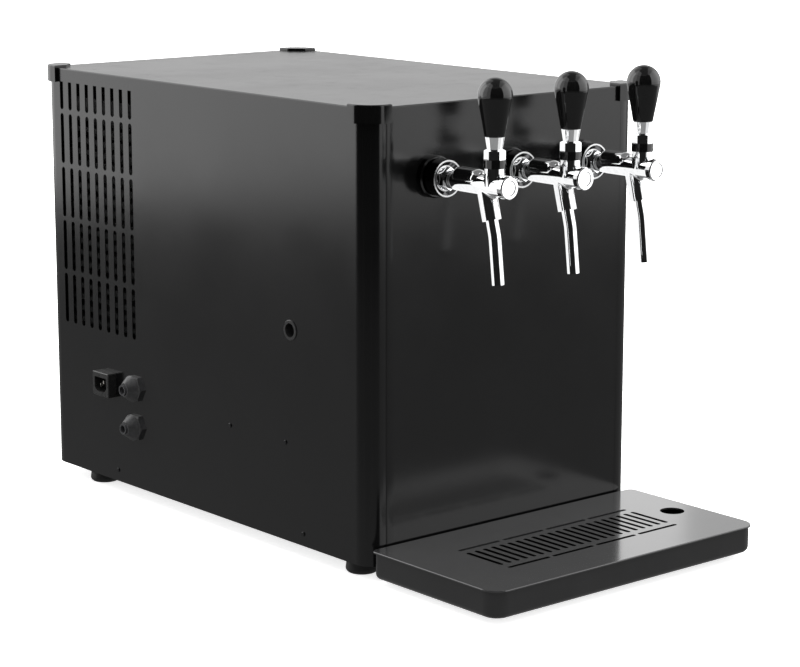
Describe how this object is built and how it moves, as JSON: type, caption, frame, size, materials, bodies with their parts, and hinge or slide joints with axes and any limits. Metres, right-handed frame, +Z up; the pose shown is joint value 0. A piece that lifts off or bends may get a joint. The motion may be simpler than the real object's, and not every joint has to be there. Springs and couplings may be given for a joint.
{
  "type": "over-counter beer dispenser",
  "caption": "Black box-shaped counter-top beer cooler with a row of chrome lever taps, black knobs, a slotted drip tray, side vents and low hose and mains connections.",
  "frame": {"origin": "on the counter, under the middle of the machine's outer box", "axes": "+X to the right seen from the taps, +Y from the taps towards the rear panel, +Z up"},
  "size_m": [0.428, 0.858, 0.5536],
  "materials": {
    "casing_black": "satin black powder coat",
    "cap_black": "moulded, satin black",
    "foot_rubber": "matte black rubber",
    "screw_black": "blackened steel",
    "fitting_black": "moulded black plastic",
    "collet_grey": "dark grey acetal",
    "inlet_black": "moulded black",
    "pin_metal": "nickel plated",
    "thermostat_black": "black bezel and housing",
    "spindle_metal": "blackened steel",
    "compressor_black": "black stove enamel",
    "condenser_metal": "black-lacquered fins",
    "frame_zinc": "black painted sheet",
    "fan_black": "black",
    "block_metal": "cast",
    "foam": "stiff insulating foam",
    "line_plastic": "food grade tube",
    "tray_black": "fine-grained black",
    "flange_black": "black flange, threaded shank",
    "tap_chrome": "polished chrome on brass",
    "cup_black": "black ring",
    "knob_black": "polished black",
    "stem_metal": "stainless steel"
  },
  "bodies": {
    "casing": {"front_panel": "casing_black", "left_side_panel": "casing_black", "right_side_panel": "casing_black", "rear_panel": "casing_black", "top_lid": "casing_black", "base_pan": "casing_black", "front_left_cap": "cap_black", "front_right_cap": "cap_black", "rear_left_cap": "cap_black", "rear_right_cap": "cap_black", "feet": "foot_rubber", "casing_screws": "screw_black", "upper_hose_fitting": "fitting_black", "lower_hose_fitting": "fitting_black", "rear_hose_fitting": "fitting_black", "fitting_nuts": "fitting_black", "power_inlet": "inlet_black", "inlet_pins": "pin_metal", "thermostat": "thermostat_black", "compressor": "compressor_black", "condenser": "condenser_metal", "condenser_frame": "frame_zinc", "tray_bracket": "frame_zinc", "fan_motor": "fan_black", "cooling_block": "block_metal", "foam_jacket": "foam", "beer_lines": "line_plastic", "supply_lines": "line_plastic", "left_tap_shank": "flange_black", "middle_tap_shank": "flange_black", "right_tap_shank": "flange_black", "coupling_nuts": "tap_chrome", "shank_nuts": "tap_chrome", "bonnet_nuts": "tap_chrome", "nose_caps": "tap_chrome", "left_tap_body": "tap_chrome", "left_tap_spout": "tap_chrome", "middle_tap_body": "tap_chrome", "middle_tap_spout": "tap_chrome", "right_tap_body": "tap_chrome", "right_tap_spout": "tap_chrome"},
    "left_lever": {"left_tap_lever": "tap_chrome", "left_tap_lever_cup": "cup_black", "left_tap_knob": "knob_black"},
    "left_valve": {"left_tap_valve_stem": "stem_metal"},
    "middle_lever": {"middle_tap_lever": "tap_chrome", "middle_tap_lever_cup": "cup_black", "middle_tap_knob": "knob_black"},
    "middle_valve": {"middle_tap_valve_stem": "stem_metal"},
    "right_lever": {"right_tap_lever": "tap_chrome", "right_tap_lever_cup": "cup_black", "right_tap_knob": "knob_black"},
    "right_valve": {"right_tap_valve_stem": "stem_metal"},
    "fan_wheel": {"fan_blades": "fan_black"},
    "spindle": {"thermostat_spindle": "spindle_metal"},
    "upper_collet": {"upper_release_collet": "collet_grey"},
    "lower_collet": {"lower_release_collet": "collet_grey"},
    "rear_collet": {"rear_release_collet": "collet_grey"},
    "drip_tray": {"tray_tub": "tray_black"},
    "drip_tray_lid": {"tray_lid": "tray_black"}
  },
  "joints": [
    {"name": "left_lever_tilt", "type": "hinge", "parent": "casing", "child": "left_lever", "pos_m": [-0.1, -0.3235, 0.449], "axis": [1, 0, 0], "range_deg": [0, 30]},
    {"name": "left_valve_slide", "type": "slide", "parent": "casing", "child": "left_valve", "axis": [0, 1, 0], "range_m": [0, 0.0048]},
    {"name": "middle_lever_tilt", "type": "hinge", "parent": "casing", "child": "middle_lever", "pos_m": [0.01, -0.3235, 0.449], "axis": [1, 0, 0], "range_deg": [0, 30]},
    {"name": "middle_valve_slide", "type": "slide", "parent": "casing", "child": "middle_valve", "axis": [0, 1, 0], "range_m": [0, 0.0048]},
    {"name": "right_lever_tilt", "type": "hinge", "parent": "casing", "child": "right_lever", "pos_m": [0.12, -0.3235, 0.449], "axis": [1, 0, 0], "range_deg": [0, 30]},
    {"name": "right_valve_slide", "type": "slide", "parent": "casing", "child": "right_valve", "axis": [0, 1, 0], "range_m": [0, 0.0048]},
    {"name": "fan_spin", "type": "hinge", "parent": "casing", "child": "fan_wheel", "pos_m": [-0.13, 0.28375, 0.345], "axis": [1, 0, 0], "continuous": true},
    {"name": "thermostat_turn", "type": "hinge", "parent": "casing", "child": "spindle", "pos_m": [-0.19, -0.0895, 0.2618], "axis": [-1, 0, 0], "range_deg": [-135, 135]},
    {"name": "upper_collet_push", "type": "slide", "parent": "casing", "child": "upper_collet", "axis": [1, 0, 0], "range_m": [0, 0.002]},
    {"name": "lower_collet_push", "type": "slide", "parent": "casing", "child": "lower_collet", "axis": [1, 0, 0], "range_m": [0, 0.002]},
    {"name": "rear_collet_push", "type": "slide", "parent": "casing", "child": "rear_collet", "axis": [0, -1, 0], "range_m": [0, 0.002]},
    {"name": "tray_lift", "type": "slide", "parent": "casing", "child": "drip_tray", "axis": [0, 0, 1], "range_m": [0, 0.06]},
    {"name": "tray_lid_lift", "type": "slide", "parent": "drip_tray", "child": "drip_tray_lid", "axis": [0, 0, 1], "range_m": [0, 0.05]}
  ],
  "couplings": [
    {"joint": "left_valve_slide", "follows": "left_lever_tilt", "m_per_rad": 0.009},
    {"joint": "middle_valve_slide", "follows": "middle_lever_tilt", "m_per_rad": 0.009},
    {"joint": "right_valve_slide", "follows": "right_lever_tilt", "m_per_rad": 0.009}
  ]
}
